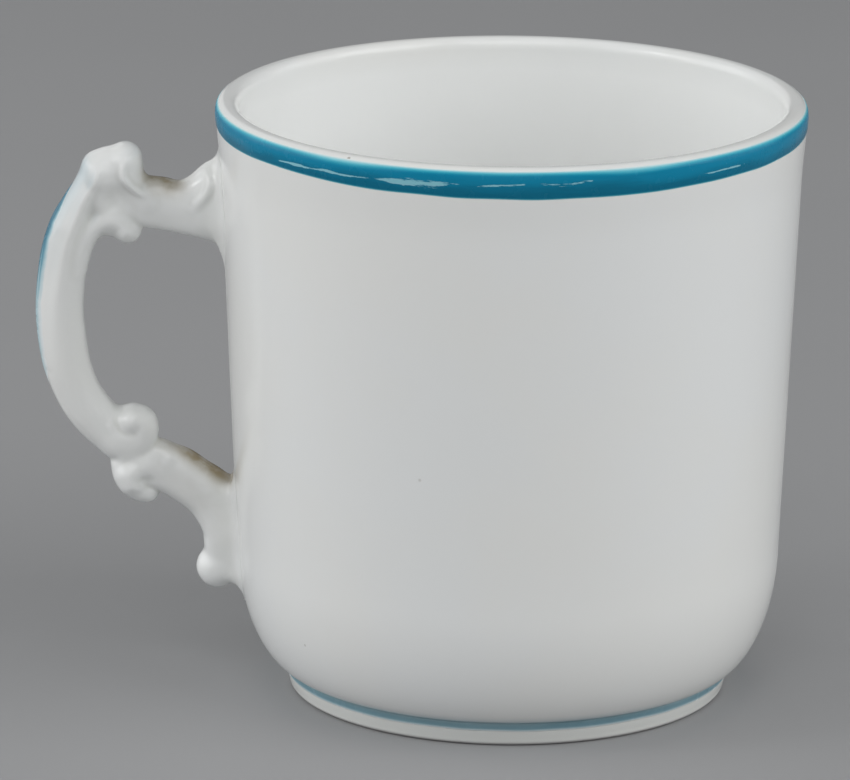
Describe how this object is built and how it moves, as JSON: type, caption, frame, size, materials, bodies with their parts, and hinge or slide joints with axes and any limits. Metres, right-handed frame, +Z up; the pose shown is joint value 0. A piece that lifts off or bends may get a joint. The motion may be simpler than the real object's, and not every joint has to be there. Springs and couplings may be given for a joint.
{
  "type": "espresso cup",
  "caption": "Small straight-sided porcelain espresso cup on a low foot ring, with a rolled lip, teal enamel lines and a moulded scroll handle for the fingers.",
  "frame": {"origin": "on the cup's axis, in the plane of the foot ring's flat that stands on the table", "axes": "+Z up along the cup's axis, the handle points along -X and lies in the plane y = 0"},
  "size_m": [0.0733, 0.0562, 0.0575],
  "materials": {
    "porcelain": "clear glaze over white porcelain",
    "clay_slip": "fired slip under the same clear glaze",
    "teal_enamel": "brushed overglaze enamel, worn in places"
  },
  "bodies": {
    "root": {"cup_body": "porcelain", "foot_ring": "porcelain", "foot_slip": "clay_slip", "handle": "porcelain", "upper_slip": "clay_slip", "lower_slip": "clay_slip", "rim_band": "teal_enamel", "foot_line": "teal_enamel", "handle_stroke": "teal_enamel"}
  },
  "joints": []
}
